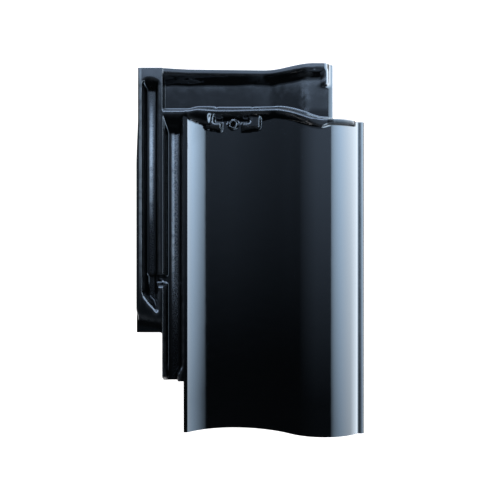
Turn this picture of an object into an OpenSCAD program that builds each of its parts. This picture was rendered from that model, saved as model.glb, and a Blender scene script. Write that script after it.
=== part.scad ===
// Interlocking pan tile of fired, glazed clay, lying face up on its nibs and its foot rib.
// X runs across the tile from the side lock to the roll, Y up the slope to the head, Z up.
// The origin lies under the middle of the tile, on the floor.

/* [Overall] */
// Width over the side lock and the roll
overall_w = 290; // [284:1:298]
// Length from the foot edge to the head rim
overall_l = 465; // [450:1:480]
// Thickness of the clay
wall = 12; // [10:0.5:13]
// Height of the nibs and the foot rib under the pan
rest_h = 10; // [8:0.5:14]
// Gap between the roll of one tile and the field of the next
joint_gap = 2; // [1:0.5:3]

/* [Wave] */
// Rise from the pan to the crest of the roll
wave_h = 45; // [42:1:48]
// Distance across from the lowest line of the pan to the crest
pan_to_crest = 115; // [110:1:118]
// Distance from the crest to the right edge
crest_inset = 52; // [50:1:54]
// Radius of the pan on its roll side
pan_r = 106; // [98:1:112]
// Radius of the pan on its lock side
flank_r = 84; // [80:1:92]
// Radius of the bead along the right edge
bead_r = 4.5; // [4:0.25:5]
// Drop from the crest to the middle of the bead
bead_drop = 21.5; // [19:0.5:23]

/* [Side lock] */
// Height of the lock ribs over the pan
lock_rise = 23; // [22:0.5:25]
// Depth of the two lock channels
channel_depth = 11; // [8:0.5:13]
// Hollow of a channel floor
channel_dish = 1.2; // [0.6:0.1:2]
// Clay under the lock channels
lock_wall = 10; // [8:0.5:12]
// Top width of the outer rib
outer_rib_w = 7; // [6:0.5:8]
// Floor width of the outer channel
outer_channel_w = 12; // [11:0.5:13]
// Top width of the middle rib
mid_rib_w = 6; // [5:0.5:7]
// Floor width of the inner channel
inner_channel_w = 16; // [14:0.5:17]
// Top width of the rib beside the field
inner_rib_w = 6.5; // [5.5:0.5:7.5]
// Run of a channel wall that faces the roll
near_run = 5.5; // [4:0.5:6]
// Run of a channel wall that faces the outer edge
far_run = 3.5; // [2:0.5:4]
// Bevel on the outer edges of the lock ribs
rib_bevel = 1.2; // [0.8:0.2:1.6]
// Length of the slope that closes the outer channel at the head
outer_ramp_l = 13; // [10:1:16]
// Length of the slope that closes the inner channel at the cross rib
inner_ramp_l = 22; // [18:1:26]
// How much narrower the tile is at its head
taper_w = 2.2; // [1.5:0.1:3]
// Distance from the head edge to where the tile begins to narrow
taper_back = 120; // [110:1:130]
// Length of the narrowing stretch
taper_l = 52; // [40:1:60]

/* [Head lock] */
// Height of the head floor over the pan
head_floor_rise = 3; // [2:0.5:5]
// Height of the head floor over the pan at the roll
head_roll_rise = 35; // [33:0.5:37]
// Drop of the head floor along its right edge
head_flank_drop = 1.2; // [0.5:0.1:3]
// Distance from the pan line to the foot of the head slope
head_slope_x = 51; // [48:1:54]
// Run of the head slope
head_slope_run = 41; // [38:1:44]
// Top width of the head rim
rim_w = 7; // [6:0.5:9]
// Run of the head rim's inner wall
rim_run = 11; // [9:0.5:13]
// Height of the head rim over the pan at the lock
rim_lock_rise = 22.3; // [21:0.1:22.8]
// Height of the head rim over the pan in the pan
rim_pan_rise = 10; // [8:0.5:12]
// Height of the head rim over the pan on the roll
rim_roll_rise = 43; // [41:0.5:45]
// Top width of the rim's return along the roll
return_w = 4; // [3:0.5:6]
// Length of the rim's return
return_l = 30; // [24:1:34]
// Top width of the cross rib
cross_w = 7; // [5:0.5:8]
// Run of the cross rib's wall on the foot side
cross_run = 5; // [3:0.5:6]
// Distance from the head edge to the middle of the cross rib, in the pan
cross_back = 54; // [51:0.5:57]
// Height of the cross rib over the pan
cross_rise = 14; // [12:0.5:17]
// How far the cross rib stands proud of the roll
cross_proud = 6.5; // [5:0.5:8]
// How far the cross rib stands proud of the flank where it meets the lock
cross_lock_proud = 3; // [2:0.5:4]
// Width of the head corner cut-out
corner_w = 41; // [38:1:44]
// Length of the head corner cut-out
corner_l = 70.5; // [68:0.5:74]

/* [Nail hole] */
// Bore of the nail hole
nail_d = 7; // [5:0.5:8]
// Outer diameter of the collar round the nail hole
collar_d = 13; // [11.5:0.5:16]
// Height of the collar over the pan
collar_h = 4; // [3:0.5:6]
// Distance from the head edge to the nail hole
nail_back = 68.5; // [66:0.5:71]

/* [Brackets] */
// Distance between the legs of the two brackets, inside
bracket_gap = 45; // [42:1:48]
// How far the brackets lie towards the side lock from the nail hole
bracket_shift = 2; // [0:0.5:4]
// Run of the brackets' outer sides
bracket_run = 7; // [5:0.5:9]
// Width of the left leg
left_leg_w = 10.5; // [9:0.5:12]
// Width of the right leg
right_leg_w = 14; // [12:0.5:16]
// Length of the toes
toe_l = 9.5; // [8:0.5:11]
// Width of the toes
toe_w = 7; // [6:0.5:9]
// Distance from the head edge to the foot side of the toes
bracket_back = 74; // [72:0.5:78]

/* [Lock ends] */
// Length of the outer channel, from the head edge to the foot side of the base plate
plate_back = 338; // [325:1:350]
// Length of the base plate below the outer rib
plate_l = 20.5; // [17:0.5:24]
// Step from the outer rib down to the base plate
plate_step = 4; // [3:0.5:6]
// Run of that step
plate_run = 6.5; // [4:0.5:7]
// How far that step slants towards the foot
plate_slant = 6; // [4:0.5:8]
// Width of the bevelled corner of the outer rib above the base plate
plate_corner_w = 2.5; // [1.5:0.5:4]
// Length of the bevelled corner of the outer rib above the base plate
plate_corner_l = 9; // [6:0.5:12]
// Radius in the corner under the base plate
corner_r = 4; // [3:0.5:6]
// Length of the inner channel, from the head edge
inner_back = 400; // [385:1:410]
// How far the middle rib ends above the inner channel
end_draft = 2; // [1:0.5:3]
// How far the inner rib is trimmed below the inner channel
foot_trim = 1.3; // [0.5:0.1:2]
// Width of the slanted rib that closes the outer channel
slant_run = 31; // [26:1:36]
// Distance from the head edge to the gap in the middle rib
gap_back = 265; // [255:1:275]
// Length of the gap in the middle rib
gap_l = 11; // [9:0.5:13]
// Width of the low ridge across that gap
ridge_w = 2; // [1.5:0.25:3]
// Height of the low ridge across that gap
ridge_h = 1; // [0.6:0.1:1.2]
// Depth of the pocket below the gap in the outer channel
pocket_depth = 1.5; // [1:0.25:2]
// Length of the wedge at the lower end of the inner channel
wedge_l = 21; // [17:1:25]
// Width of the wedge at the lower end of the inner channel
wedge_w = 7; // [5:0.5:9]

/* [Underside] */
// Width of a nib
nib_w = 34; // [28:1:40]
// Thickness of a nib at the floor
nib_l = 16; // [12:1:20]
// Distance between the middles of the two nibs
nib_pitch = 104; // [90:1:116]
// Distance from the nail hole up to the bearing faces of the nibs
nib_lead = 14; // [12:1:18]
// Length of the level sole of the foot rib
sole_w = 84; // [70:1:96]
// Thickness of the foot rib
foot_rib_l = 12; // [10:1:16]
// Distance from the foot edge to the foot rib
foot_rib_back = 28; // [22:1:40]
// Depth of the foot rib under the wave
foot_rib_h = 8; // [6:0.5:10]
// Thickness of the cover lips under the roll
lip_w = 6; // [5:0.5:7]
// Clearance between a cover lip and the channel floor that it covers
lip_gap = 3; // [2:0.5:4]

/* [Hidden] */
$fn = 180;

// Overrun of all cuts
cut = 2;
// Depth that raised pieces are sunk into the clay that carries them
sink = 5;
// Turn by which the flank runs on into the inner rib, in degrees
lap_turn = 0.1;
// Share of a channel floor that is hollowed
dish_share = 0.85;

// Edges of the whole
left_x = -overall_w / 2;
right_x = overall_w / 2;
foot_y = -overall_l / 2;
head_y = overall_l / 2;

// Levels
pan_z = rest_h + wall;
crest_z = pan_z + wave_h;
rib_z = pan_z + lock_rise;
channel_z = rib_z - channel_depth;
lock_under_z = channel_z - lock_wall;
head_z = pan_z + head_floor_rise;
head_roll_z = pan_z + head_roll_rise;
top_z = crest_z + wall;

// Side lock, from the left edge inwards: each value is a rib's edge
outer_rib_x = left_x + outer_rib_w;
mid_rib_x = outer_rib_x + near_run + outer_channel_w + far_run;
mid_rib_end_x = mid_rib_x + mid_rib_w;
inner_rib_x = mid_rib_end_x + near_run + inner_channel_w + far_run;
lock_x = inner_rib_x + inner_rib_w;
cover_w = right_x - inner_rib_x + joint_gap;
dish_r = (pow(inner_channel_w * dish_share, 2) / 4 + pow(channel_dish, 2)) / (2 * channel_dish);

// Wave
crest_x = right_x - crest_inset;
pan_x = crest_x - pan_to_crest;
roll_r = (pan_to_crest * pan_to_crest + wave_h * wave_h) / (2 * wave_h) - pan_r;
turn = asin(pan_to_crest / (pan_r + roll_r));
turn_x = pan_x + pan_r * sin(turn);
flank_turn = asin((pan_x - lock_x) / flank_r);
flank_z = pan_z + flank_r - flank_r * cos(flank_turn);
flank_under_x = pan_x - sqrt(pow(flank_r + wall, 2) - pow(flank_r + pan_z - lock_under_z, 2));
bead_x = right_x - bead_r;
bead_z = crest_z - bead_drop;
roll_turn = acos(1 - bead_drop / roll_r);
roll_end_x = crest_x + roll_r * sin(roll_turn);

// Head
slope_x = pan_x + head_slope_x;
slope_end_x = slope_x + head_slope_run;
head_right_x = right_x - corner_w;
head_flank_run = rim_w;
roll_edge_y = head_y - corner_l;
cross_y = head_y - cross_back;
cross_roll_y = roll_edge_y - cross_w / 2;
nail_y = head_y - nail_back;

// Height of the wave's upper face at x
function wave_z(x) =
    x < pan_x ? pan_z + flank_r - sqrt(pow(flank_r, 2) - pow(max(x, lock_x) - pan_x, 2))
    : x < turn_x ? pan_z + pan_r - sqrt(pow(pan_r, 2) - pow(x - pan_x, 2))
    : crest_z - roll_r + sqrt(pow(roll_r, 2) - pow(min(x, roll_end_x) - crest_x, 2));

// Height of the head floor at x
function head_floor_z(x) = lookup(x, [[slope_x, head_z], [slope_end_x, head_roll_z]]);

// Eased step from 0 at a to 1 at b
function share_between(a, b, x) = min(1, max(0, (x - a) / (b - a)));
function eased(a, b, x) = pow(share_between(a, b, x), 2) * (3 - 2 * share_between(a, b, x));

// Section in X and Z, drawn from y0 to y1
module along(y0, y1) {
    translate([0, y1, 0]) rotate([90, 0, 0]) linear_extrude(y1 - y0) children();
}

// Section in Y and Z, drawn from x0 to x1
module across(x0, x1) {
    translate([x0, 0, 0]) rotate([90, 0, 90]) linear_extrude(x1 - x0) children();
}

// Outline in X and Y, drawn from z0 to z1
module upright(z0, z1) {
    translate([0, 0, z0]) linear_extrude(z1 - z0) children();
}

// Rectangle between two corners
module area(x0, y0, x1, y1) {
    translate([x0, y0]) square([x1 - x0, y1 - y0]);
}

// Part of a ring between two angles
module arc_band(x, z, r_in, r_out, a0, a1) {
    reach = 2 * r_out;
    mid = (a0 + a1) / 2;
    translate([x, z]) intersection() {
        difference() {
            circle(r_out);
            circle(r_in);
        }
        polygon([
            [0, 0],
            reach * [cos(a0), sin(a0)],
            reach * [cos(mid), sin(mid)],
            reach * [cos(a1), sin(a1)]
        ]);
    }
}

// Band that follows the wave, from d0 to d1 under its upper face
module wave_band(d0, d1) {
    arc_band(pan_x, pan_z + flank_r, flank_r + d0, flank_r + d1, 270 - flank_turn - lap_turn, 270);
    arc_band(pan_x, pan_z + pan_r, pan_r + d0, pan_r + d1, 270, 270 + turn);
    arc_band(crest_x, crest_z - roll_r, roll_r - d1, roll_r - d0, 90 - roll_turn, 90 + turn);
}

// Section of the field: wave, bead, and the web that ties the bead to the end of the roll
module field_section() {
    wave_band(0, wall);
    area(min(roll_end_x, bead_x) - wall / 2, bead_z - bead_r / 2, bead_x, bead_z);
    translate([bead_x, bead_z]) circle(bead_r);
}

// Section of the side lock with its channels unfilled
module lock_section() {
    polygon([
        [left_x, lock_under_z],
        [left_x, rib_z - rib_bevel],
        [left_x + rib_bevel, rib_z],
        [lock_x, rib_z],
        [lock_x, flank_z - sink],
        [flank_under_x + wall / 3, lock_under_z]
    ]);
}

// Section of a lock channel that starts at rib edge x, with a bevel on the edge across from it
module channel_section(x, floor_w) {
    x1 = x + near_run;
    x2 = x1 + floor_w;
    x3 = x2 + far_run;
    bevel_share = rib_bevel / channel_depth;
    dish_w = floor_w * dish_share;
    dish_rise = sqrt(dish_r * dish_r - dish_w * dish_w / 4);
    polygon([
        [x, rib_z + cut],
        [x, rib_z],
        [x1, channel_z],
        [x2, channel_z],
        [x3 - far_run * bevel_share, rib_z - rib_bevel],
        [x3 + rib_bevel, rib_z],
        [x3 + rib_bevel, rib_z + cut]
    ]);
    intersection() {
        translate([(x1 + x2) / 2, channel_z + dish_rise]) circle(dish_r);
        area(x1, channel_z - cut, x2, channel_z + channel_dish / 4);
    }
}

// Section of the head floor, with the slope up to the roll and the flank on its right
module head_section() {
    flank_x = head_right_x - head_flank_run;
    polygon([
        [mid_rib_x, head_z - wall],
        [mid_rib_x, channel_z],
        [mid_rib_end_x, channel_z],
        [mid_rib_end_x, head_z],
        [slope_x, head_z],
        [slope_end_x, head_roll_z],
        [flank_x, head_roll_z],
        [head_right_x, head_roll_z - head_flank_drop],
        [head_right_x, head_roll_z - head_flank_drop - wall],
        [flank_x, head_roll_z - wall],
        [slope_end_x + wall / 2, head_roll_z - wall],
        [slope_x + wall / 2, head_z - wall]
    ]);
}

// Middle line of the cross rib
cross_left_drop = 3;
cross_steps = 12;
cross_bend_share = 0.2;
cross_bend_x = lock_x + cross_bend_share * (pan_x - lock_x);
cross_low_x = (cross_bend_x + pan_x) / 2;
function cross_mid_y(x) =
    cross_y
    - (cross_y - cross_roll_y) * eased(slope_x, crest_x, x)
    - cross_left_drop * (1 - eased(lock_x, cross_bend_x, x));
function cross_top_z(x) = max(
    pan_z + cross_rise,
    x < lock_x ? rib_z
    : x < pan_x ? lookup(x, [[lock_x, flank_z + cross_lock_proud], [cross_low_x, pan_z + cross_rise]])
    : wave_z(x) + cross_proud);
cross_end_x = bead_x - 2 * bead_r;
cross_xs = concat(
    [mid_rib_end_x - mid_rib_w / 2, inner_rib_x, lock_x, cross_bend_x, cross_low_x, pan_x],
    [for (i = [0:cross_steps]) slope_x + i * (crest_x - slope_x) / cross_steps],
    [(crest_x + head_right_x) / 2, head_right_x, (head_right_x + cross_end_x) / 2, cross_end_x]
);

// Outline of the field in plan: its head edge is the middle line of the cross rib
module field_outline() {
    polygon(concat(
        [[left_x, foot_y], [right_x, foot_y], [right_x, roll_edge_y], [cross_end_x, roll_edge_y]],
        [for (i = [len(cross_xs) - 1:-1:0])
            if (cross_xs[i] <= head_right_x) [cross_xs[i], cross_mid_y(cross_xs[i])]],
        [[left_x, cross_y]]
    ));
}

// Outline of the head in plan: it laps under the cross rib
module head_outline() {
    lap = cross_w / 4;
    polygon(concat(
        [[mid_rib_x, head_y], [head_right_x, head_y]],
        [for (i = [len(cross_xs) - 1:-1:0])
            if (cross_xs[i] <= head_right_x) [cross_xs[i], cross_mid_y(cross_xs[i]) - lap]],
        [[mid_rib_x, cross_mid_y(mid_rib_x) - lap]]
    ));
}

// Bar along X: at each x of xs a section of points [y, z], in turn
module bar(xs, sections) {
    n = len(sections[0]);
    last = len(xs) - 1;
    polyhedron(
        points = [for (i = [0:last]) for (p = sections[i]) [xs[i], p[0], p[1]]],
        faces = concat(
            [[for (k = [n - 1:-1:0]) k]],
            [for (i = [0:last - 1]) for (k = [0:n - 1])
                [i * n + k, (i + 1) * n + (k + 1) % n, (i + 1) * n + k]],
            [for (i = [0:last - 1]) for (k = [0:n - 1])
                [i * n + k, i * n + (k + 1) % n, (i + 1) * n + (k + 1) % n]],
            [[for (k = [0:n - 1]) last * n + k]]
        )
    );
}

// Section of a rib: level top of width w round y, with bevelled edges, and a sloping side down to each base
function rib_points(y, w, top, bevel, drop, foot_run, foot_base, head_run, head_base) = [
    [y - w / 2 - foot_run, foot_base],
    [y - w / 2, top - drop],
    [y - w / 2 + bevel, top],
    [y + w / 2 - bevel, top],
    [y + w / 2, top - drop],
    [y + w / 2 + head_run, head_base]
];

// Cross rib between the field and the head floor: on the field its wall has the same run all along
cross_bevel = 1.5;
function cross_drop(x) = cross_bevel * min(1, (cross_top_z(x) - wave_z(x)) / cross_rise);
function cross_wall_run(x) =
    x < lock_x ? cross_run : cross_run * (1 + sink / (cross_top_z(x) - cross_drop(x) - wave_z(x)));
module cross_rib() {
    bar(cross_xs, [for (x = cross_xs)
        let (
            over_roll = x > head_right_x,
            foot_base = (x < lock_x ? head_floor_z(x) : wave_z(x)) - sink,
            head_base = (over_roll ? wave_z(x) : min(head_floor_z(x), wave_z(x))) - sink,
            root = [cross_mid_y(x) - cross_w / 2, min(foot_base, head_base) - cross_bevel]
        )
        concat(rib_points(cross_mid_y(x), cross_w, cross_top_z(x), cross_bevel, cross_drop(x),
            cross_wall_run(x), foot_base, over_roll ? 0 : 2 * cross_bevel, head_base), [root])]);
}

// Head rim: high over the lock, low in the pan, high on the roll
rim_bevel = 1.5;
rim_steps = 8;
rim_rise_x = slope_x - head_flank_run - rim_bevel;
rim_top_x = slope_end_x + head_flank_run;
rim_pan_share = 0.35;
function rim_z(x) = pan_z + (x < rim_rise_x
    ? lookup(x, [
        [mid_rib_x, rim_lock_rise],
        [lock_x, rim_pan_rise + rim_pan_share * (rim_lock_rise - rim_pan_rise)],
        [rim_rise_x, rim_pan_rise]])
    : rim_pan_rise + (rim_roll_rise - rim_pan_rise) * eased(rim_rise_x, rim_top_x, x));
rim_xs = concat(
    [mid_rib_x + mid_rib_w / 2, lock_x, pan_x],
    [for (i = [0:rim_steps]) rim_rise_x + i * (rim_top_x - rim_rise_x) / rim_steps],
    [head_right_x - head_flank_run]
);
module head_rim() {
    bar(rim_xs, [for (x = rim_xs)
        let (base = head_floor_z(x) - sink, rise = rim_z(x) - base)
        rib_points(head_y - rim_w / 2, rim_w, rim_z(x), rim_bevel, rim_bevel,
            rim_run * rise / (rise - sink), base, 0, base)]);
}

// Return of the rim down the right edge of the head
module rim_return() {
    x1 = head_right_x - head_flank_run;
    base = head_roll_z - sink;
    top = pan_z + rim_roll_rise;
    intersection() {
        across(x1 - rim_run, x1) polygon([
            [head_y, base],
            [head_y, top],
            [head_y - return_l + sink, top],
            [head_y - return_l, base]
        ]);
        along(head_y - return_l, head_y) polygon([
            [x1 - return_w - sink, base],
            [x1 - return_w, top],
            [x1, top],
            [x1, base]
        ]);
    }
}

// Angled bracket under the cross rib: its leg starts at x, and its toe turns to the nail hole
module bracket(x, leg_w, side) {
    y0 = head_y - bracket_back;
    base = pan_z - sink;
    top = pan_z + cross_rise - cross_bevel;
    leg_x = x + side * leg_w;
    toe_x = x - side * toe_l;
    along(y0, cross_y) polygon([[x, base], [x, top], [leg_x, top], [leg_x + side * bracket_run, base]]);
    across(min(leg_x, toe_x), max(leg_x, toe_x)) polygon([
        [y0 - bracket_run, base],
        [y0, top],
        [y0 + toe_w, top],
        [y0 + toe_w, base]
    ]);
}
module brackets() {
    bracket(pan_x - bracket_shift - bracket_gap / 2, left_leg_w, -1);
    bracket(pan_x - bracket_shift + bracket_gap / 2, right_leg_w, 1);
}

// Slope that closes a lock channel between x0 and x1, from the ribs' top at y1 down to the channel's floor
module channel_ramp(x0, x1, y1, ramp_l) {
    across(x0, x1) polygon([
        [y1 - ramp_l, channel_z - sink],
        [y1 - ramp_l, channel_z - channel_dish],
        [y1, rib_z],
        [y1 + sink, rib_z],
        [y1 + sink, channel_z - sink]
    ]);
}
module channel_ramps() {
    channel_ramp(outer_rib_x - outer_rib_w / 2, mid_rib_x + mid_rib_w / 2, outer_head_y, outer_ramp_l);
    channel_ramp(mid_rib_end_x - mid_rib_w / 2, lock_x - inner_rib_w / 2, cross_mid_y(lock_x) - cross_w / 2,
        inner_ramp_l);
}

// Ends of the side lock
outer_head_y = head_y - 2 * rim_w;
plate_y = head_y - plate_back;
plate_end_y = plate_y + plate_l;
inner_end_y = head_y - inner_back;
gap_y = head_y - gap_back;
cutout_x = mid_rib_end_x - cut / 2;
foot_edge_x = inner_rib_x + foot_trim;
slant_y = plate_end_y + slant_run;
corner_turn = 15;

// Outer edge, narrower at the head
module head_taper() {
    upright(0, top_z) polygon([
        [left_x - cut, head_y - taper_back],
        [left_x, head_y - taper_back],
        [left_x + taper_w, head_y - taper_back + taper_l],
        [left_x + taper_w, head_y + cut],
        [left_x - cut, head_y + cut]
    ]);
}

// Cut-out at the foot: one step under the base plate and one under the inner channel
module foot_cutout() {
    upright(0, top_z) {
        polygon(concat(
            [[left_x - cut, plate_y], [left_x - cut, foot_y - cut], [cutout_x, foot_y - cut]],
            [for (a = [0:corner_turn:90])
                [cutout_x - corner_r * (1 - cos(a)), plate_y - corner_r * (1 - sin(a))]]
        ));
        area(left_x - cut, foot_y - cut, foot_edge_x, inner_end_y);
    }
    upright(channel_z, top_z)
        area(left_x - cut, foot_y - cut, mid_rib_end_x + near_run, inner_end_y + end_draft);
}

// Outer channel with a pocket below the gap, closed at its foot by a slanted rib and rounded at its head
module outer_channel() {
    floor_x = outer_rib_x + near_run;
    floor_end_x = floor_x + outer_channel_w;
    pocket_z = channel_z - channel_dish - pocket_depth;
    round_r = (mid_rib_x - outer_rib_x) / 2 + cut;
    intersection() {
        union() {
            along(plate_y, outer_head_y) channel_section(outer_rib_x, outer_channel_w);
            along(plate_y, gap_y) polygon([
                [floor_x, channel_z + cut],
                [floor_x + cut, pocket_z],
                [floor_end_x - cut, pocket_z],
                [floor_end_x, channel_z + cut]
            ]);
        }
        upright(0, top_z) {
            polygon([
                [outer_rib_x - cut, outer_head_y - round_r],
                [outer_rib_x - cut, slant_y],
                [outer_rib_x, slant_y],
                [mid_rib_end_x, slant_y - slant_run],
                [mid_rib_end_x, outer_head_y - round_r]
            ]);
            translate([(outer_rib_x + mid_rib_x) / 2, outer_head_y - round_r]) circle(round_r);
        }
    }
}

// Inner channel, open at its foot
module inner_channel() {
    along(inner_end_y - cut, cross_y) channel_section(mid_rib_end_x, inner_channel_w);
}

// Base plate that steps down below the outer rib along a slant, and the rib's bevelled corner
module plate_cut() {
    slant_turn = atan(plate_slant / (cutout_x - left_x));
    intersection() {
        upright(0, top_z) area(left_x - cut, plate_y - cut, cutout_x, head_y);
        translate([left_x, plate_end_y, 0]) rotate([0, 0, -slant_turn]) across(-sink, overall_w) polygon([
            [0, rib_z + cut],
            [0, rib_z],
            [-plate_run, rib_z - plate_step],
            [-plate_back, rib_z - plate_step],
            [-plate_back, rib_z + cut]
        ]);
    }
    upright(rib_z - plate_step, top_z) polygon([
        [left_x - cut, plate_end_y + plate_corner_l],
        [left_x, plate_end_y + plate_corner_l],
        [left_x + plate_corner_w, plate_end_y],
        [left_x + plate_corner_w, plate_end_y - plate_run],
        [left_x - cut, plate_end_y - plate_run]
    ]);
}

// Gap in the middle rib, where water crosses to the inner channel
module rib_gap() {
    upright(channel_z + channel_dish, top_z)
        area(mid_rib_x - far_run, gap_y - gap_l, mid_rib_end_x + near_run, gap_y);
}

// Low ridge across the gap
module gap_ridge() {
    x0 = mid_rib_x - far_run;
    y0 = gap_y - gap_l;
    upright(channel_z - sink, channel_z + channel_dish + ridge_h) polygon([
        [x0, gap_y - ridge_w],
        [mid_rib_end_x, y0],
        [mid_rib_end_x, y0 + ridge_w],
        [x0, gap_y]
    ]);
}

// Wedge at the lower end of the inner rib that turns the water into the channel
module wedge() {
    upright(channel_z - sink, rib_z) polygon([
        [inner_rib_x, inner_end_y],
        [inner_rib_x - wedge_w, inner_end_y],
        [inner_rib_x - wedge_w, inner_end_y + wedge_l / 2],
        [inner_rib_x, inner_end_y + wedge_l]
    ]);
}

// Hanging nibs: their bearing faces look down the slope
module nibs() {
    y0 = nail_y + nib_lead;
    for (side = [-1, 1]) {
        x = pan_x + side * nib_pitch / 2;
        across(x - nib_w / 2, x + nib_w / 2) polygon([
            [y0, 0],
            [y0, pan_z],
            [y0 + nib_l + rest_h / 2, pan_z],
            [y0 + nib_l, 0]
        ]);
    }
}

// Foot rib under the wave, with a level sole under the pan
module foot_rib() {
    y0 = foot_y + foot_rib_back;
    along(y0, y0 + foot_rib_l) {
        wave_band(wall / 2, wall + foot_rib_h);
        difference() {
            area(pan_x - sole_w / 2, 0, pan_x + sole_w / 2, pan_z + wall);
            translate([pan_x, pan_z + flank_r]) circle(flank_r + wall / 2);
            translate([pan_x, pan_z + pan_r]) circle(pan_r + wall / 2);
        }
    }
}

// Cover lips under the roll, one over each lock channel of the next tile
module cover_lips() {
    outer_mid = cover_w + outer_rib_x + near_run + outer_channel_w / 2;
    inner_mid = cover_w + mid_rib_end_x + near_run + inner_channel_w / 2;
    along(foot_y, roll_edge_y)
        for (x = [outer_mid, inner_mid])
            area(x - lip_w / 2, channel_z + lip_gap, x + lip_w / 2, wave_z(x) - wall / 6);
}

// Room under the roll for the lock of the next tile
module cover_room() {
    along(foot_y - cut, head_y) area(crest_x, -cut, right_x + cut, channel_z + lip_gap);
}

// Nail hole with its collar
module nail_collar() {
    translate([pan_x, nail_y, pan_z - sink]) cylinder(d = collar_d, h = sink + collar_h);
}
module nail_bore() {
    translate([pan_x, nail_y, -cut]) cylinder(d = nail_d, h = top_z);
}

module roof_tile() {
    color([0.05, 0.06, 0.07]) difference() {
        union() {
            intersection() {
                along(foot_y, cross_y) field_section();
                upright(0, top_z) field_outline();
            }
            difference() {
                along(foot_y, head_y) lock_section();
                outer_channel();
                inner_channel();
                upright(0, top_z) area(mid_rib_end_x, cross_mid_y(lock_x), lock_x + wall, head_y + cut);
                plate_cut();
                rib_gap();
            }
            intersection() {
                along(cross_roll_y - cross_w, head_y) head_section();
                upright(0, top_z) head_outline();
            }
            head_rim();
            rim_return();
            cross_rib();
            channel_ramps();
            gap_ridge();
            brackets();
            nail_collar();
            wedge();
            nibs();
            foot_rib();
            cover_lips();
        }
        head_taper();
        foot_cutout();
        cover_room();
        nail_bore();
    }
}

roof_tile();
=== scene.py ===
# %% [markdown]
# # A glazed clay roof tile
# An interlocking pan tile is pressed from one sheet of clay between two moulds, dipped in glaze
# and fired. So it has no undercuts: seen from above it is one height for every place in plan, and
# so is its underside. This lesson dresses the packed tile with a smooth skin made on that idea,
# gives it a black glaze over red clay, and lights it as a studio lights a glossy black thing.

# %% Load the packed tile
import math

import bmesh
import bpy
import numpy as np
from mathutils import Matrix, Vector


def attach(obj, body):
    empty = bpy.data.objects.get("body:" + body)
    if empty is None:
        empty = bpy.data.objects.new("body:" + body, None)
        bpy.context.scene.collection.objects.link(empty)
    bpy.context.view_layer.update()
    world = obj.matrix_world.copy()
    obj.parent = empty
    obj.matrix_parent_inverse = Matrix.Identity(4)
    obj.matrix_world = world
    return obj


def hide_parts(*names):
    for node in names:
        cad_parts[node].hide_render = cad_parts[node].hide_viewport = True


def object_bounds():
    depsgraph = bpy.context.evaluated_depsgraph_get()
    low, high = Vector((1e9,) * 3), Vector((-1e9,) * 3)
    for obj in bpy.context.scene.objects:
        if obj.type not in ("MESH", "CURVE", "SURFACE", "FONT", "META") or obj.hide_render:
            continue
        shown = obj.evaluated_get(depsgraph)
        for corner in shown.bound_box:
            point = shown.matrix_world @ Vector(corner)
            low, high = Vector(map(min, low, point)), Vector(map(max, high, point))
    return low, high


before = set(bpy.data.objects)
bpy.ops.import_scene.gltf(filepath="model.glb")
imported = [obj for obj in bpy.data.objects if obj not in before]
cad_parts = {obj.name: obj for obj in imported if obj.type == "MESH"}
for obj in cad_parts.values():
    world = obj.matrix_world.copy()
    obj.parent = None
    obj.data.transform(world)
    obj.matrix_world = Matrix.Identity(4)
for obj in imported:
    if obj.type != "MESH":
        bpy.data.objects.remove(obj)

cad_low, cad_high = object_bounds()
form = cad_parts["roof_tile"]
MM = 0.001
left, foot, floor_level = cad_low
right, head, _ = cad_high
print("the packed tile measures", [round(size / MM, 1) for size in cad_high - cad_low], "mm")

# %% [markdown]
# ## The plan of the tile
# A corner is cut out at the head beside the roll, and the side lock ends in two steps above the
# foot, so that four tiles can meet without piling up. The outer edge draws in a little towards the
# head. The outline is written without that taper, and the finished sheet is warped to it.

# %% Outline in plan
corner_w, corner_l = 41 * MM, 70.5 * MM
outer_end, inner_end = 127 * MM, 65 * MM
middle_rib_w, lock_w = 33 * MM, 60.3 * MM
fillet_r = 4 * MM
fillet_x, fillet_y = left + middle_rib_w - fillet_r, foot + outer_end - fillet_r
hole_x, hole_y, hole_r = -22 * MM, head - 68.5 * MM, 3.5 * MM
quarter = np.radians(np.linspace(90, 0, 9))
outline = np.array([
    (left + lock_w, foot),
    (right, foot),
    (right, head - corner_l),
    (right - corner_w, head - corner_l),
    (right - corner_w, head),
    (left, head),
    (left, foot + outer_end),
    *zip(fillet_x + fillet_r * np.cos(quarter), fillet_y + fillet_r * np.sin(quarter)),
    (left + middle_rib_w, foot + inner_end),
    (left + lock_w, foot + inner_end),
])
print("outline has", len(outline), "corners")

# %% Inside, and how far from an edge


def inside(x, y):
    """Whether points lie inside the outline and outside the nail hole."""
    odd = np.zeros(np.shape(x), bool)
    for (x0, y0), (x1, y1) in zip(outline, np.roll(outline, -1, axis=0)):
        if y0 != y1:
            odd ^= ((y0 > y) != (y1 > y)) & (x < x0 + (y - y0) * (x1 - x0) / (y1 - y0))
    return odd & (np.hypot(x - hole_x, y - hole_y) > hole_r)


def edge_distance(x, y):
    """Distance of points from the nearest edge of the outline or the hole."""
    nearest = np.abs(np.hypot(x - hole_x, y - hole_y) - hole_r)
    for a, b in zip(outline, np.roll(outline, -1, axis=0)):
        run = b - a
        share = np.clip(((x - a[0]) * run[0] + (y - a[1]) * run[1]) / (run @ run), 0, 1)
        nearest = np.minimum(nearest, np.hypot(x - a[0] - share * run[0], y - a[1] - share * run[1]))
    return nearest


print("the middle of the hole is kept:", bool(inside(hole_x, hole_y)))

# %% [markdown]
# ## Ruling the sheet
# A sheet of quads is ruled over the outline. Its lines lie close together where ribs, channels and
# brackets are, and far apart on the plain run of the field, which saves faces without losing
# detail. Along every outer edge a few lines lie closer still, for the rolled edge.

# %% Lines across and along the tile
edge_lines = np.array([0.25, 0.7, 1.5]) * MM
clear = 0.2 * MM


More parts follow.
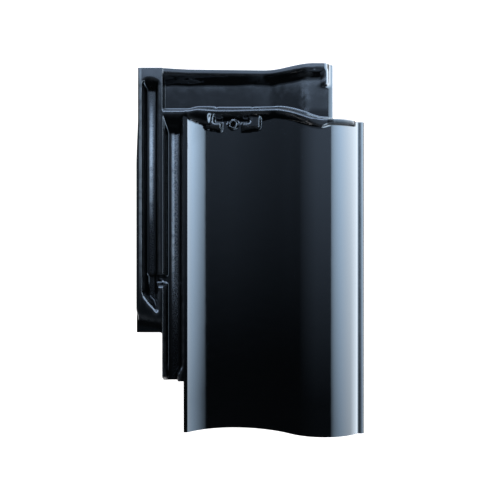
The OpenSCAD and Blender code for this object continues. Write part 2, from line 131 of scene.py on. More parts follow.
def ruled(stops, steps, edges):
    """Lines along the edges and close beside them, and elsewhere at most a step apart."""
    beside = [edge + side * edge_lines for edge, side in edges]
    plain = [np.linspace(a, b, math.ceil((b - a) / s) + 1) for a, b, s in zip(stops, stops[1:], steps)]
    lines = sorted({edge for edge, side in edges})
    for line in np.concatenate([*beside, *plain]):
        if np.abs(np.array(lines) - line).min() > clear:
            lines.append(line)
    return np.array(sorted(lines))


lock_zone, bracket_left, bracket_right, edge_zone = left + 67 * MM, -58 * MM, 16 * MM, right - 12 * MM
x_stops = [left, lock_zone, bracket_left, bracket_right, edge_zone, right]
x_steps = np.array([0.93, 1.6, 1.25, 2.3, 0.9]) * MM
rib_edges = [left + offset * MM for offset in (7, 34, 65.5)]
x_edges = [(left, 1), (left + middle_rib_w, 1), (left + lock_w, 1), (right - corner_w, -1), (right, -1)]
x_edges += [(rib_edge, side) for rib_edge in rib_edges for side in (-1, 1)]
xs = ruled(x_stops, x_steps, x_edges)

foot_rib_low, foot_rib_high, inner_slant_end = foot + 26 * MM, foot + 42 * MM, foot + 88 * MM
fillet_low, outer_slant_end = foot + 120 * MM, foot + 182 * MM
gap_low, gap_high, head_zone = foot + 188 * MM, foot + 206 * MM, head - 92 * MM
y_stops = [foot, foot_rib_low, foot_rib_high, foot + inner_end, inner_slant_end, fillet_low,
           foot + outer_end, outer_slant_end, gap_low, gap_high, head_zone, head]
y_steps = np.array([7, 1.8, 7, 1.8, 7, 1.0, 1.9, 3, 1.3, 8, 1.02]) * MM
y_edges = [(foot, 1), (foot + inner_end, 1), (foot + outer_end, 1), (head - corner_l, -1), (head, -1)]
ys = ruled(y_stops, y_steps, y_edges)
print(len(xs), "by", len(ys), "lines")

# %% [markdown]
# ## Two faces of one sheet
# The cells that lie inside the outline are kept, and their corners are numbered once, because the
# same sheet is laid twice: for the upper face and for the underside. An edge that only one cell
# has is on the border, where a wall will join the two faces. Border points on the nail hole and in
# the fillet are moved onto their circles.

# %% Number the points of the sheet
cell_x, cell_y = (xs[:-1] + xs[1:]) / 2, (ys[:-1] + ys[1:]) / 2
kept = inside(*np.meshgrid(cell_x, cell_y, indexing="ij"))
number = np.full((len(xs), len(ys)), -1)
rows, columns = np.nonzero(kept)
for di, dj in ((0, 0), (1, 0), (0, 1), (1, 1)):
    number[rows + di, columns + dj] = 0
used = np.nonzero(number == 0)
number[used] = np.arange(len(used[0]))
plan_x, plan_y = xs[used[0]].copy(), ys[used[1]].copy()
count = len(plan_x)
cells = np.stack([
    number[rows, columns],
    number[rows + 1, columns],
    number[rows + 1, columns + 1],
    number[rows, columns + 1],
], axis=1)
print(count, "points and", len(cells), "cells on a face")

# %% Find the border
borders = {}
for cell in cells.tolist():
    for a, b in zip(cell, cell[1:] + cell[:1]):
        if (b, a) in borders:
            del borders[(b, a)]
        else:
            borders[(a, b)] = True
rim = np.unique(np.array(list(borders)))
print(len(borders), "edges on the border")

# %% Round the hole and the fillet
fillet_reach_share = 0.49


def snap(points, x, y, r):
    """Moves border points onto a circle and gives the turn of each."""
    turn = np.arctan2(plan_y[points] - y, plan_x[points] - x)
    plan_x[points] = x + r * np.cos(turn)
    plan_y[points] = y + r * np.sin(turn)
    return turn


around_hole = rim[np.hypot(plan_x[rim] - hole_x, plan_y[rim] - hole_y) < 2 * hole_r]
hole_turn = snap(around_hole, hole_x, hole_y, hole_r)
fillet_reach = fillet_reach_share * fillet_r
in_fillet = rim[(np.abs(plan_x[rim] - fillet_x - fillet_r / 2) < fillet_reach)
                & (np.abs(plan_y[rim] - fillet_y - fillet_r / 2) < fillet_reach)]
snap(in_fillet, fillet_x, fillet_y, fillet_r)
print(len(around_hole), "points round the hole,", len(in_fillet), "in the fillet")

# %% [markdown]
# ## Where each point looks
# The press will read the height of the packed tile under each point. A point that lies right on an
# edge could miss it, so it looks a little inwards. The same shift shapes the press: all points of
# the head rim look at the middle of the rim, which gives it a broad level crown, and points at the
# foot of the stop at the roll's head look past that foot, which makes it steep.

# %% Look inwards from the edges
probe = 0.4 * MM
inset = np.zeros((count, 3))
for dx, dy in ((-1, -1), (-1, 1), (1, -1), (1, 1)):
    held = inside(plan_x + dx * probe, plan_y + dy * probe)
    inset[:, 0] += held * dx * probe / 2
    inset[:, 1] += held * dy * probe / 2
inset = np.clip(inset, -probe, probe)
inset[around_hole, 0] = probe * np.cos(hole_turn)
inset[around_hole, 1] = probe * np.sin(hole_turn)
edge = edge_distance(plan_x, plan_y)
print("deepest point is", round(edge.max() / MM), "mm from an edge")

# %% Level the rim and steepen the stop
rim_w, rim_middle = 7.2 * MM, head - 3 * MM
on_rim = plan_y > head - rim_w
inset[:, 1] = np.where(on_rim, rim_middle - plan_y, inset[:, 1])
stop_head, stop_foot = head - corner_l - 7.3 * MM, head - corner_l - 12.5 * MM
stop_start, stop_blend = right - 58 * MM, 10 * MM
blend_share = np.clip((plan_x - stop_start) / stop_blend, 0, 1)
stop_top = stop_foot + (stop_head - stop_foot) * blend_share
below_stop = (plan_y > stop_foot) & (plan_y < stop_top)
inset[:, 1] = np.where(below_stop, stop_foot - plan_y, inset[:, 1])
print(int(on_rim.sum()), "points on the rim,", int(below_stop.sum()), "below the stop")

# %% [markdown]
# ## Small swells of the clay
# Three small forms come on top of the packed tile. A thin seam of the mould runs over the head rim.
# Where the cross rib runs down the flank it has a broad sloping shelf at its foot. Along the outer
# edge of the roll lies a flat lip. For shelf and lip, each point carries the level that they reach
# there, and the press takes whichever is higher.

# %% Seam of the mould
seam_x, seam_w, seam_l = -59 * MM, 0.8 * MM, 18 * MM
seam = (plan_y > head - seam_l) * np.exp(-((plan_x - seam_x) / seam_w) ** 2)
print(int((seam > 0.1).sum()), "points on the seam")

# %% Shelf at the foot of the cross rib
shelf_left, shelf_right = left + 65.5 * MM, -52 * MM
shelf_level, shelf_fall = floor_level + 47.4 * MM, 9.2 * MM
shelf_lean, shelf_steep = 0.25, 3.0
shelf_start, shelf_climb, climb_share = head - 60.5 * MM, 3 * MM, 0.42
shelf_end, shelf_spread = head - 65 * MM, 6 * MM
across = (plan_x - shelf_left) / (shelf_right - shelf_left)
shelf_head = shelf_start + shelf_climb * np.clip(across / climb_share, 0, 1)
shelf_foot = shelf_end - shelf_spread * across
shelf_drop = shelf_lean * (shelf_head - plan_y) + shelf_steep * np.clip(shelf_foot - plan_y, 0, None)
on_shelf = (across > 0) & (across < 1) & (plan_y < shelf_head)
raised = on_shelf * np.clip(shelf_level - shelf_fall * across - shelf_drop, 0, None)
print(int((raised > 0).sum()), "points on the shelf")

# %% Lip along the outer edge
lip_w, lip_edge, lip_level = 8.7 * MM, 1.2 * MM, floor_level + 49.9 * MM
on_lip = (plan_x > right - lip_w) & (plan_x < right - lip_edge)
raised = np.where(on_lip, lip_level, raised)
print(int(on_lip.sum()), "points on the lip")

# %% [markdown]
# ## Laying the sheet
# The outer rib draws in towards the head, so its points are moved by the taper. Then the mesh is
# made, and what each point carries is stored as attributes, which the geometry nodes can read.

# %% Taper of the outer edge
taper_w, taper_back, taper_l, outer_rib_w = 2.2 * MM, 120 * MM, 52 * MM, 7 * MM
taper = taper_w * np.clip((plan_y - head + taper_back) / taper_l, 0, 1)
plan_x += taper * np.clip(1 - (plan_x - left) / outer_rib_w, 0, 1)
print("the outer edge draws in", round(taper.max() / MM, 1), "mm at the head")

# %% Lay the sheet
sheet = bpy.data.meshes.new("tile_sheet")
flat = np.column_stack([plan_x, plan_y, np.zeros(count)])
sheet.from_pydata(
    np.concatenate([flat, flat]).tolist(), [],
    cells.tolist() + (cells[:, ::-1] + count).tolist(),
)
for name, kind, key, values in (
    ("side", "FLOAT", "value", np.repeat([1.0, -1.0], count)),
    ("edge", "FLOAT", "value", np.tile(edge, 2)),
    ("seam", "FLOAT", "value", np.concatenate([seam, np.zeros(count)])),
    ("raised", "FLOAT", "value", np.concatenate([raised, np.zeros(count)])),
    ("inset", "FLOAT_VECTOR", "vector", np.tile(inset, (2, 1))),
):
    sheet.attributes.new(name, kind, "POINT").data.foreach_set(key, values.ravel())
tile = bpy.data.objects.new("roof_tile_skin", sheet)
bpy.context.scene.collection.objects.link(tile)
print(len(sheet.polygons), "quads")

# %% [markdown]
# ## Short ways to write node trees
# Node trees are long to write out. These helpers let a sum of sockets read like a sum.

# %% Sums in a node tree


class Term:
    """A number in a node tree, on which + - * and the calls below make Math nodes."""

    def __init__(self, tree, socket):
        self.tree = tree
        self.socket = socket

    def make(self, operation, *others):
        node = self.tree.nodes.new("ShaderNodeMath")
        node.operation = operation
        for socket, value in zip(node.inputs, (self, *others)):
            feed(self.tree, socket, value)
        return Term(self.tree, node.outputs[0])

    def __add__(self, other):
        return self.make("ADD", other)

    def __sub__(self, other):
        return self.make("SUBTRACT", other)

    def __mul__(self, other):
        return self.make("MULTIPLY", other)

    def root(self):
        return self.make("SQRT")

    def size(self):
        return self.make("ABSOLUTE")

    def under(self, other):
        return self.make("LESS_THAN", other)

    def rise(self, low, high, to_low=0.0, to_high=1.0):
        """An eased step from one value at low to another at high."""
        node = add_node(self.tree, "ShaderNodeMapRange", {"interpolation_type": "SMOOTHSTEP"}, Value=self,
                        From_Min=low, From_Max=high, To_Min=to_low, To_Max=to_high)
        return Term(self.tree, node.outputs["Result"])

    def slide(self, low, high, to_low=0.0, to_high=1.0):
        """A straight ramp from one value at low to another at high."""
        node = add_node(self.tree, "ShaderNodeMapRange", Value=self,
                        From_Min=low, From_Max=high, To_Min=to_low, To_Max=to_high)
        return Term(self.tree, node.outputs["Result"])


def choose(test, yes, no):
    """The first term where the test is 1, the second where it is 0."""
    return test * (yes - no) + no


print("a term knows", [call for call in vars(Term) if not call.startswith("_")])

# %% Nodes and their sockets


def feed(tree, socket, value):
    """Gives a socket a term, another socket or a plain value."""
    if isinstance(value, Term):
        tree.links.new(value.socket, socket)
    elif isinstance(value, bpy.types.NodeSocket):
        tree.links.new(value, socket)
    else:
        socket.default_value = value


def add_node(tree, kind, settings=None, **inputs):
    """A node with its settings made and its inputs fed by name."""
    node = tree.nodes.new(kind)
    for key, value in (settings or {}).items():
        setattr(node, key, value)
    for name, value in inputs.items():
        feed(tree, node.inputs[name.replace("_", " ")], value)
    return node


def parts_of(tree, vector):
    """The three parts of a vector, as terms."""
    node = add_node(tree, "ShaderNodeSeparateXYZ", Vector=vector)
    return [Term(tree, socket) for socket in node.outputs]


print("nodes can be added and fed")

# %% Helpers for materials


def new_material(name):
    """A material with its tree and its plain shader."""
    material = bpy.data.materials.new(name)
    material.use_nodes = True
    return material, material.node_tree, material.node_tree.nodes["Principled BSDF"]


def object_place(tree):
    """Where a point lies on its own object."""
    return add_node(tree, "ShaderNodeTexCoord").outputs["Object"]


def carried(tree, name):
    """An attribute of the skin, as a term."""
    return Term(tree, add_node(tree, "ShaderNodeAttribute", {"attribute_name": name}).outputs["Fac"])


def mixed(tree, share, first, second):
    """A colour between two others."""
    node = add_node(tree, "ShaderNodeMix", {"data_type": "RGBA"})
    sockets = {socket.identifier: socket for socket in node.inputs}
    for key, value in (("Factor_Float", share), ("A_Color", first), ("B_Color", second)):
        feed(tree, sockets[key], value)
    return next(socket for socket in node.outputs if socket.identifier == "Result_Color")


def grain(tree, place, size, detail=2.0):
    """Noise from 0 to 1 whose blotches are about this size."""
    node = add_node(tree, "ShaderNodeTexNoise", Vector=place, Scale=1 / size, Detail=detail)
    return Term(tree, node.outputs["Fac"])


def show(tree, *shaders):
    """Sends one shader, or the sum of two, to the material's output."""
    result = shaders[0]
    if len(shaders) == 2:
        result = tree.nodes.new("ShaderNodeAddShader")
        for socket, shader in zip(result.inputs, shaders):
            tree.links.new(shader.outputs[0], socket)
    tree.links.new(result.outputs[0], tree.nodes["Material Output"].inputs["Surface"])


print("material helpers ready")

# %% [markdown]
# ## Black glaze
# The glaze is a thin black glass, so nearly all that shows on it is reflection: its base colour is
# almost black, its gloss is high, and a faint waviness makes the edges of reflections tremble. Over
# sharp ridges it is paler, as if it ran thin. The floors of the lock channels are satin. Pale streaks
# are painted into their colour as painted reflections, and a painted highlight runs along the outer
# rib. The face of the stop at the roll's head has its gloss turned down, a painted shade that keeps
# it dark. Bands and fades say where: a band has a middle, a half width and a core, and a fade has a
# start and an end.

# %% Satin floors of the lock channels
outer_floor = (left + 18.5 * MM, 6 * MM, 1.8 * MM)
inner_floor = (left + 48.3 * MM, 7.6 * MM, 2.4 * MM)
# Where the painted reflections in the channels and the painted highlight on the outer rib lie.
outer_reflection_band = (left + 17.3 * MM, 3 * MM, 1 * MM)
inner_reflection_band = (left + 45.6 * MM, 2.7 * MM, 0.7 * MM)
rib_highlight_band = (left + 5.3 * MM, 2.2 * MM, 0.8 * MM)
inner_floor_end = (head - 81 * MM, head - 84 * MM)
floor_rise = (floor_level + 41 * MM, floor_level + 38 * MM)
rib_rise = (floor_level + 42 * MM, floor_level + 44 * MM)
outer_foot_fade, outer_head_fade = (20 * MM, 120 * MM), (203 * MM, 132 * MM)
inner_shine_fade, inner_reflection_fade = (-130 * MM, -30 * MM), (-70 * MM, 20 * MM)
rib_highlight_fade = (-80 * MM, 60 * MM)


def band(x, middle, half_width, core):
    """1 in the core of a band along the tile, and 0 beyond its half width."""
    return (x - middle).size().rise(half_width, core)


def channel_floors(x, y, z):
    """Where the glaze is satin, how that shines, and where reflections and a highlight are painted."""
    outer = band(x, *outer_floor)
    inner = band(x, *inner_floor) * y.rise(*inner_floor_end)
    satin = outer.make("MAXIMUM", inner) * z.rise(*floor_rise)
    outer_sheen_span = y.rise(*outer_foot_fade) * y.rise(*outer_head_fade)
    shine = outer * outer_sheen_span.slide(0.0, 1.0, 0.25, 1.0) + inner * y.rise(*inner_shine_fade, 0.15, 1.0)
    # Pale streaks are painted reflections on the channel floors, and a painted highlight runs along the
    # outer rib.
    reflection_streaks = band(x, *outer_reflection_band) * outer_sheen_span + band(x, *inner_reflection_band) * y.rise(*inner_reflection_fade, 0.0, 0.6)
    rib_highlight = band(x, *rib_highlight_band) * y.rise(*rib_highlight_fade, 0.0, 0.3) * z.rise(*rib_rise)
    return satin, shine, reflection_streaks * satin + rib_highlight


print("satin floors are", [round(2 * floor[1] / MM, 1) for floor in (outer_floor, inner_floor)], "mm wide")

# %% Stop face with painted shade
stop_left_fade = (right - corner_w - 10 * MM, right - corner_w - 8 * MM)
stop_right_fade = (right - 13 * MM, right - 14.5 * MM)
stop_foot_fade = (stop_head - 0.3 * MM, stop_head + 0.3 * MM)
stop_head_fade = (head - corner_l - 0.6 * MM, head - corner_l - 1.6 * MM)
stop_sheen_fade = (stop_head + 2.5 * MM, stop_head + 5 * MM)


def stop_face(x, y):
    """1 on the face of the stop, where shade is painted by turning the gloss down, and 0 elsewhere."""
    in_width = x.rise(*stop_left_fade) * x.rise(*stop_right_fade)
    return in_width * y.rise(*stop_foot_fade) * y.rise(*stop_head_fade)


print("stop face is", round((stop_head_fade[0] - stop_head) / MM, 1), "mm long")

# %% Glaze material
deep_black, thin_black = (0.0009, 0.0012, 0.0015, 1), (0.012, 0.015, 0.019, 1)
# Pale blue-grey of the reflections painted into the lock channels and onto the outer rib.
painted_reflection_tint = (0.33, 0.43, 0.54, 1)
blotch_w, peel_w, swell_w = 9 * MM, 1.6 * MM, 22 * MM
peel_h, swell_h = 0.006, 0.06


def glaze_material():
    material, tree, shader = new_material("black_glaze")
    shader.inputs["IOR"].default_value = 1.52
    place = object_place(tree)
    x, y, z = parts_of(tree, place)
    blotch = grain(tree, place, blotch_w, 3.0)
    peel = grain(tree, place, peel_w)
    swell = grain(tree, place, swell_w, 1.0)
    satin, shine, painted_reflection = channel_floors(x, y, z)
    thin = carried(tree, "ridge") * blotch.rise(0.3, 0.7, 0.35, 1.0)

    run_thin = mixed(tree, thin, deep_black, thin_black)
    # Painted reflections: pale streaks mixed into the base colour of the channel floors and the outer rib.
    with_painted_reflection = mixed(tree, painted_reflection * blotch.rise(0.25, 0.6, 0.5, 1.0), run_thin, painted_reflection_tint)
    feed(tree, shader.inputs["Base Color"], with_painted_reflection)
    gloss = blotch.slide(0.3, 0.7, 0.04, 0.085) + thin * 0.08
    feed(tree, shader.inputs["Roughness"], choose(satin, peel.slide(0.3, 0.7, 0.25, 0.3), gloss))
    # Painted shade: on the stop face the gloss is turned down, so it mirrors little and looks dark.
    shaded_stop_gloss = y.slide(*stop_sheen_fade, 0.06, 0.2)
    gleam = choose(stop_face(x, y), shaded_stop_gloss, choose(satin, shine, 0.5))
    feed(tree, shader.inputs["Specular IOR Level"], gleam)
    unevenness = peel * peel_h + swell * swell_h
    waves = add_node(tree, "ShaderNodeBump", Height=unevenness, Strength=1.0, Distance=MM)
    feed(tree, shader.inputs["Normal"], waves.outputs["Normal"])
    return material


glaze = glaze_material()
print("material", glaze.name, "with", len(glaze.node_tree.nodes), "nodes")

# %% [markdown]
# ## Red clay
# The underside is bare fired clay: blotched red-brown, grainy, with paler dust on its high spots.
# Glaze ran over its edges in an uneven border when the tile was dipped.

# %% Clay material
dark_clay, pale_clay, clay_dust = (0.21, 0.072, 0.034, 1), (0.36, 0.142, 0.07, 1), (0.55, 0.34, 0.22, 1)
run_glaze = (0.004, 0.005, 0.006, 1)
cloud_w, grit_w, drip_w = 28 * MM, 0.9 * MM, 14 * MM
grit_h, cloud_h = 0.25, 0.3
overrun_w, overrun_soft = 14 * MM, 1 * MM


def clay_material():
    material, tree, shader = new_material("red_clay")
    place = object_place(tree)
    cloud = grain(tree, place, cloud_w, 4.0)
    grit = grain(tree, place, grit_w, 3.0)
    drip = grain(tree, place, drip_w, 2.0)

    fired = mixed(tree, cloud.rise(0.35, 0.65), dark_clay, pale_clay)
    dusted = mixed(tree, grit.rise(0.58, 0.72, 0.0, 0.35), fired, clay_dust)
    overrun = (carried(tree, "edge") - drip * overrun_w).rise(overrun_soft, -overrun_soft)
    feed(tree, shader.inputs["Base Color"], mixed(tree, overrun, dusted, run_glaze))
    glossy, matt = cloud.slide(0.3, 0.7, 0.1, 0.2), grit.slide(0.3, 0.7, 0.8, 0.95)
    feed(tree, shader.inputs["Roughness"], choose(overrun, glossy, matt))
    unevenness = grit * grit_h + cloud * cloud_h
    rough = add_node(tree, "ShaderNodeBump", Height=unevenness, Strength=1.0, Distance=MM)
    feed(tree, shader.inputs["Normal"], rough.outputs["Normal"])
    return material


clay = clay_material()
print("material", clay.name, "with", len(clay.node_tree.nodes), "nodes")

# %% [markdown]
# ## The wave
# The field is a wave of three arcs: the flank beside the lock, the pan and the roll. Pan and roll
# meet where both have the same slope, which fixes the radius of the roll.

# %% The wave in section
wall = 12 * MM
pan_level = floor_level + 22 * MM
wave_h, pan_to_crest = 45 * MM, 115 * MM
crest_x = right - 52 * MM
pan_x = crest_x - pan_to_crest
pan_r, flank_r = 106 * MM, 84 * MM
roll_r = (pan_to_crest**2 + wave_h**2) / (2 * wave_h) - pan_r
turn_sine = pan_to_crest / (pan_r + roll_r)
wave_sizes = {
    "Pan Line": pan_x,
    "Pan Level": pan_level,
    "Pan Radius": pan_r,
    "Flank Radius": flank_r,
    "Crest Line": crest_x,
    "Crest Level": pan_level + wave_h,
    "Roll Radius": roll_r,
    "Turn Sine": turn_sine,
    "Wall": wall,
}
print("roll radius", round(roll_r / MM, 2), "mm")

# %% [markdown]
# ## Pressing the sheet
# A tree of geometry nodes presses the flat sheet onto the packed tile as the moulds do: each point
# is dropped down, or raised up, to where it meets the tile. Where a point lands on the wave its
# height comes from the arcs themselves, which keeps the reflections clean. All other heights are
# blurred a little, as thick glaze rounds every rib, and the outer edges are rolled over. The tree
# also marks the ridges, for the glaze that ran thin there.

# %% The inputs of the tree
press_sizes = {"Reach": 200 * MM, "Match": 0.3 * MM, "Edge Radius": 0.7 * MM, "Seam Height": 0.45 * MM,
               "Ridge Height": 0.5 * MM}
press_counts = {"Soften": 2, "Ridge Width": 10}

press = bpy.data.node_groups.new("press_tile", "GeometryNodeTree")
press_inputs = [("Geometry", "Geometry"), ("Form", "Object")]
press_inputs += [(name, "Float") for name in (*wave_sizes, *press_sizes)]
press_inputs += [(name, "Int") for name in press_counts]
press_inputs += [("Glaze", "Material"), ("Clay", "Material")]
for name, kind in press_inputs:
    press.interface.new_socket(name, in_out="INPUT", socket_type="NodeSocket" + kind)
press.interface.new_socket("Geometry", in_out="OUTPUT", socket_type="NodeSocketGeometry")
given = press.nodes.new("NodeGroupInput").outputs
size = {name: Term(press, given[name]) for name in (*wave_sizes, *press_sizes)}
print("the press has", len(press_inputs), "inputs")

# %% What the tree reads and blurs


def stored(name, kind="FLOAT"):
    """An attribute that the sheet carries."""
    node = add_node(press, "GeometryNodeInputNamedAttribute", {"data_type": kind}, Name=name)
    return node.outputs["Attribute"]


def blurred(value, steps):
    """A term spread over its neighbours a number of times."""
    node = press.nodes.new("GeometryNodeBlurAttribute")
    node.data_type = "FLOAT"
    feed(press, node.inputs["Value"], value)
    feed(press, node.inputs["Iterations"], steps)
    return Term(press, node.outputs["Value"])


place = add_node(press, "GeometryNodeInputPosition").outputs[0]
facing = Term(press, stored("side"))
print(len(press.nodes), "nodes so far")

# %% Drop the points onto the tile
start = add_node(press, "ShaderNodeVectorMath", {"operation": "ADD"})
feed(press, start.inputs[0], place)
feed(press, start.inputs[1], stored("inset", "FLOAT_VECTOR"))
x, y, _ = parts_of(press, start.outputs[0])
lifted = add_node(press, "ShaderNodeCombineXYZ", X=x, Y=y, Z=facing * size["Reach"])
downward = add_node(press, "ShaderNodeCombineXYZ", Z=facing * -1.0)
form_info = add_node(press, "GeometryNodeObjectInfo", {"transform_space": "ORIGINAL"}, Object=given["Form"])
cast = add_node(press, "GeometryNodeRaycast", Target_Geometry=form_info.outputs["Geometry"],
                Source_Position=lifted.outputs[0], Ray_Direction=downward.outputs[0],
                Ray_Length=size["Reach"] * 2.0)
landed = parts_of(press, cast.outputs["Hit Position"])[2].make("MAXIMUM", stored("raised"))
print(len(press.nodes), "nodes so far")

# %% Take the wave from its arcs
depth = (facing - 1.0) * -0.5 * size["Wall"]
across_pan = x - size["Pan Line"]
bend = choose(across_pan.under(0.0), size["Flank Radius"], size["Pan Radius"])
pan_reach = bend + depth
in_pan = size["Pan Level"] + bend - (pan_reach * pan_reach - across_pan * across_pan).root()
across_roll = x - size["Crest Line"]
roll_reach = size["Roll Radius"] - depth
roll_middle = size["Crest Level"] - size["Roll Radius"]
on_roll = roll_middle + (roll_reach * roll_reach - across_roll * across_roll).root()
wave = choose(across_pan.under((size["Pan Radius"] + depth) * size["Turn Sine"]), in_pan, on_roll)
on_wave = (landed - wave).size().under(size["Match"])
sharp = choose(on_wave, wave, landed)
print(len(press.nodes), "nodes so far")

# %% Soften, add the seam and roll the edges
soft = choose(on_wave, wave, blurred(sharp, given["Soften"]))
near = Term(press, stored("edge")).make("MINIMUM", size["Edge Radius"])
lean = size["Edge Radius"] - near
drop = size["Edge Radius"] - (size["Edge Radius"] * size["Edge Radius"] - lean * lean).root()
height = soft + Term(press, stored("seam")) * size["Seam Height"] - facing * drop
flat_x, flat_y, _ = parts_of(press, place)
pressed = add_node(press, "ShaderNodeCombineXYZ", X=flat_x, Y=flat_y, Z=height)
proud = (soft - blurred(soft, given["Ridge Width"])) * facing
ridge = choose(on_wave, facing * 0.0, proud).make("DIVIDE", size["Ridge Height"])
print(len(press.nodes), "nodes so far")

# %% Finish the tree
marked = add_node(press, "GeometryNodeStoreNamedAttribute", {"data_type": "FLOAT", "domain": "POINT"},
                  Geometry=given["Geometry"], Name="ridge", Value=ridge.slide(0.0, 1.0))
moved = add_node(press, "GeometryNodeSetPosition", Geometry=marked.outputs[0], Position=pressed.outputs[0])
smooth = add_node(press, "GeometryNodeSetShadeSmooth", Geometry=moved.outputs[0])
real = add_node(press, "GeometryNodeRealizeInstances", Geometry=smooth.outputs[0])
glazed = add_node(press, "GeometryNodeSetMaterial", Geometry=real.outputs[0], Material=given["Glaze"])
bare = add_node(press, "GeometryNodeSetMaterial", Geometry=glazed.outputs[0], Material=given["Clay"],
                Selection=facing.under(0.0))
result = press.nodes.new("NodeGroupOutput")
press.links.new(bare.outputs[0], result.inputs[0])
print(len(press.nodes), "nodes in the tree")

# %% [markdown]
# ## Closing the edges
# The two pressed faces become one plain mesh, and a wall of quads along the border joins them.

# %% Press the sheet
pressing = tile.modifiers.new("press", "NODES")
pressing.node_group = press
settings = {**wave_sizes, **press_sizes, **press_counts, "Form": form, "Glaze": glaze, "Clay": clay}
for item in press.interface.items_tree:
    if item.in_out == "INPUT" and item.name in settings:
        pressing[item.identifier] = settings[item.name]
graph = bpy.context.evaluated_depsgraph_get()
skin = bpy.data.meshes.new_from_object(tile.evaluated_get(graph), depsgraph=graph)
tile.modifiers.remove(pressing)
tile.data = skin
print(len(skin.polygons), "faces pressed")

# %% Close the edges
work = bmesh.new()
work.from_mesh(skin)
work.verts.ensure_lookup_table()
glaze_index = list(skin.materials).index(glaze)
for a, b in borders:
    wall_face = work.faces.new([work.verts[i] for i in (b, a, a + count, b + count)])
    wall_face.smooth = True
    wall_face.material_index = glaze_index
work.to_mesh(skin)
work.free()
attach(tile, "root")
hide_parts("roof_tile")
skin.calc_loop_triangles()
print(len(skin.loop_triangles), "triangles in the skin")

# %% [markdown]
# ## Floor
# White paper, which the camera and the gloss both see as white. Right under the tile it is painted
# near black and does not glow, a painted shadow, so that the nail hole shows dark.

# %% Floor
floor_half = 3.0
dark_half_w, dark_half_l, dark_edge_share = 60 * MM, 190 * MM, 1.1
painted_shadow_paper, white_paper = (0.01, 0.01, 0.01, 1), (0.85, 0.85, 0.85, 1)
paper_glow = 0.8


def plane(name, corners):
    """A flat four-cornered object."""
    mesh = bpy.data.meshes.new(name)
    mesh.from_pydata(corners, [], [(0, 1, 2, 3)])
    made = bpy.data.objects.new(name, mesh)
    bpy.context.scene.collection.objects.link(made)
    return made


def paper_material():
    material, tree, shader = new_material("white_paper")
    shader.inputs["Roughness"].default_value = 0.9
    rays = tree.nodes.new("ShaderNodeLightPath").outputs
    seen = Term(tree, rays["Is Camera Ray"]) + rays["Is Glossy Ray"] + rays["Is Transmission Ray"]
    x, y, _ = parts_of(tree, object_place(tree))
    # Painted shadow: under the tile the paper is near black and does not glow.
    beside = x.size().rise(dark_half_w, dark_edge_share * dark_half_w)
    beyond = y.size().rise(dark_half_l, dark_edge_share * dark_half_l)
    outside = beside.make("MAXIMUM", beyond)
    feed(tree, shader.inputs["Base Color"], mixed(tree, outside, painted_shadow_paper, white_paper))
    show(tree, shader, add_node(tree, "ShaderNodeEmission", Strength=seen * outside * paper_glow))
    return material


floor = plane("floor", [(-floor_half, -floor_half, 0), (floor_half, -floor_half, 0),
                        (floor_half, floor_half, 0), (-floor_half, floor_half, 0)])
floor.location.z = floor_level
floor.data.materials.append(paper_material())
print("floor laid at", round(floor_level / MM, 2), "mm")

# %% [markdown]
# ## Softbox
# A black gloss shows only what it mirrors. One long softbox stands close beside the roll: the roll
# and the lock side of the pan both mirror it, as two pale strips. It is brightest along its lower
# edge and towards the head, and its upper edge fades out. Only the gloss sees it.

# %% Softbox beside the roll
card_x, card_low, card_high, card_half = 163 * MM, 45 * MM, 254 * MM, 700 * MM
low_level, middle_level, tint_level, fade_level = 50 * MM, 70 * MM, 130 * MM, 212 * MM
low_tint, high_tint = (0.87, 1.0, 1.14, 1), (0.73, 1.0, 1.32, 1)
glow_foot, glow_head = -250 * MM, 180 * MM


def hide_card(card):
    """Leaves a card to the gloss alone."""
    card.visible_camera = False
    card.visible_diffuse = False
    card.visible_shadow = False


def softbox_material():
    material, tree, shader = new_material("softbox_glow")
    tree.nodes.remove(shader)
    _, y, z = parts_of(tree, object_place(tree))
    headward = y.slide(glow_foot, glow_head)
    low = headward.slide(0, 1, 12.5, 15)
    middle = headward.slide(0, 1, 6, 14.5)
    high = headward.slide(0, 1, 1.3, 6)
    lower = choose(z.slide(low_level, middle_level), middle, low)
    whole = choose(z.slide(middle_level, fade_level), high, lower) * z.rise(card_high, fade_level)
    tint = mixed(tree, z.rise(low_level, tint_level), low_tint, high_tint)
    show(tree, add_node(tree, "ShaderNodeEmission", Color=tint, Strength=whole))
    return material


card = plane("side_softbox", [(card_x, -card_half, card_low), (card_x, card_half, card_low),
                              (card_x, card_half, card_high), (card_x, -card_half, card_high)])
hide_card(card)
card.data.materials.append(softbox_material())
print("softbox", round((card_high - card_low) / MM), "mm high")

# %% [markdown]
# ## Veil
# Between the dark pan and the pale strip of the roll lies a band with a faint sheen. A clear veil
# with a dim glow hangs over the roll, and glows more towards the outer side and the head. It has a
# gap where the inner wall of the head rim would mirror it.

# %% Veil above the roll
veil_left, veil_right, veil_level, veil_ramp = 5 * MM, 112 * MM, 100 * MM, 68 * MM
veil_foot, veil_head, veil_low, veil_high = -200 * MM, 130 * MM, 0.02, 0.56
veil_gap_y, veil_gap_core, veil_gap_half = 175 * MM, 7 * MM, 15 * MM
sky_tint = (0.74, 1.0, 1.4, 1)


def veil_material():
    material, tree, shader = new_material("veil_glow")
    tree.nodes.remove(shader)
    x, y, _ = parts_of(tree, object_place(tree))
    rollward = x.slide(veil_left, veil_left + veil_ramp)
    headward = y.slide(veil_foot, veil_head, veil_low, veil_high)
    clear_of_rim = (y - veil_gap_y).size().rise(veil_gap_core, veil_gap_half)
    glow = add_node(tree, "ShaderNodeEmission", Strength=rollward * headward * clear_of_rim)
    glow.inputs["Color"].default_value = sky_tint
    show(tree, tree.nodes.new("ShaderNodeBsdfTransparent"), glow)
    return material


veil = plane("roll_veil", [(veil_left, -card_half, veil_level), (veil_right, -card_half, veil_level),
                           (veil_right, card_half, veil_level), (veil_left, card_half, veil_level)])
hide_card(veil)
veil.data.materials.append(veil_material())
print("veil", round((veil_right - veil_left) / MM), "mm wide")

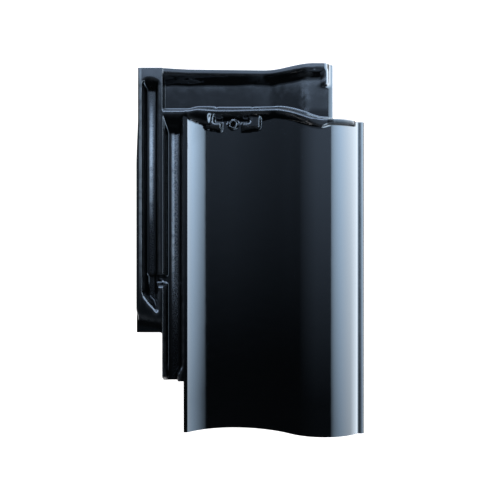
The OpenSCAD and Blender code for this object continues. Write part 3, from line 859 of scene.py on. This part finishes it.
# %% [markdown]
# ## Sky
# The gloss mirrors a dim bluish sky that brightens towards the head, where a large softbox starts
# a little above the tile's head. The plain white of all other rays lights the matt surfaces. Each
# ramp below says where it starts and ends, as a direction, and its strength at both.

# %% Sky
dusk_along, dusk_across = (-0.2, 0.35, 0.014, 0.63), (-0.9, 0.0, 0.6, 1.0)
box_sill, box_start, box_end = (0.24, 0.266, 0.0, 2.2), (0.28, 0.36, 0.0, 9.0), (0.52, 0.42)
world = bpy.data.worlds.new("studio")
bpy.context.scene.world = world
world.use_nodes = True
tree = world.node_tree
x, y, _ = parts_of(tree, add_node(tree, "ShaderNodeTexCoord").outputs["Generated"])
dusk = y.rise(*dusk_along) * x.slide(*dusk_across)
head_box = y.rise(*box_sill) + y.rise(*box_start) * y.rise(*box_end)
dim_sky = add_node(tree, "ShaderNodeBackground", Strength=dusk + head_box)
dim_sky.inputs["Color"].default_value = sky_tint
plain_sky = tree.nodes["Background"]
plain_sky.inputs["Color"].default_value = (1, 1, 1, 1)
plain_sky.inputs["Strength"].default_value = 1.0
rays = tree.nodes.new("ShaderNodeLightPath")
either = add_node(tree, "ShaderNodeMixShader", Fac=rays.outputs["Is Glossy Ray"])
tree.links.new(plain_sky.outputs[0], either.inputs[1])
tree.links.new(dim_sky.outputs[0], either.inputs[2])
tree.links.new(either.outputs[0], tree.nodes["World Output"].inputs["Surface"])
print("sky has", len(tree.nodes), "nodes")

# %% [markdown]
# ## Camera
# The camera looks straight down from a little under a metre, which fits the photograph. Its lens is
# given by how many pixels wide the picture is, and how many pixels away the picture would have to
# hang.

# %% Camera
photo_px, focal_px, camera_height = 500, 645, 844 * MM
camera_data = bpy.data.cameras.new("camera")
camera_data.sensor_width = 36
camera_data.lens = camera_data.sensor_width * focal_px / photo_px
camera = bpy.data.objects.new("camera", camera_data)
camera.location = (0, 0, pan_level + camera_height)
bpy.context.scene.collection.objects.link(camera)
bpy.context.scene.camera = camera
bpy.context.scene.view_settings.view_transform = "Standard"
print("lens", round(camera_data.lens, 1), "mm")

# %% [markdown]
# ## Sizes
# The skin has to stay inside the packed tile's box.
